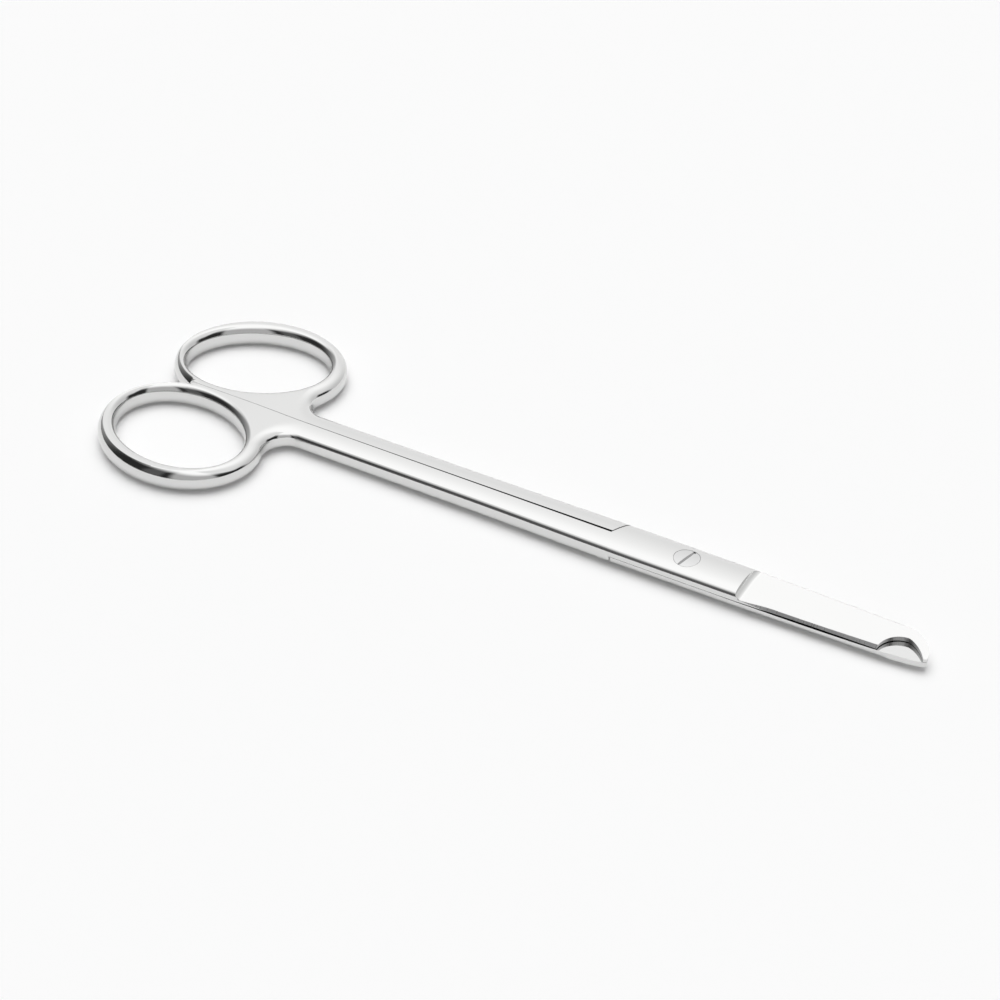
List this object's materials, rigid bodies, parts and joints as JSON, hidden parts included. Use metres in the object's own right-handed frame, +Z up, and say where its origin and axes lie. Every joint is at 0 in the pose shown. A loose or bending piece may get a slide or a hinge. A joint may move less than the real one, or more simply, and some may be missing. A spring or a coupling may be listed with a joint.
{
  "type": "suture scissors",
  "caption": "Suture scissors with slim crowned shanks, oval finger rings, a lap joint on a slotted screw, and blunt flat blades ending in a hook notch.",
  "frame": {"origin": "on the pivot axis, at the flush end of the screw in the underside of the lap joint", "axes": "+X along the closed blades to the tip, +Y away from the ring of the upper half, +Z up along the pivot axis"},
  "size_m": [0.1305, 0.0436, 0.0037],
  "materials": {
    "lower_steel": "mirror-polished stainless steel, cutting bevel cross-ground",
    "upper_steel": "mirror-polished stainless steel, cutting bevel cross-ground",
    "screw_steel": "finely turned stainless steel"
  },
  "bodies": {
    "lower": {"lower_half": "lower_steel", "pivot_screw": "screw_steel"},
    "upper": {"upper_half": "upper_steel"}
  },
  "joints": [
    {"name": "pivot", "type": "hinge", "parent": "lower", "child": "upper", "pos_m": [0, 0, 0], "axis": [0, 0, 1], "range_deg": [0, 140]}
  ]
}
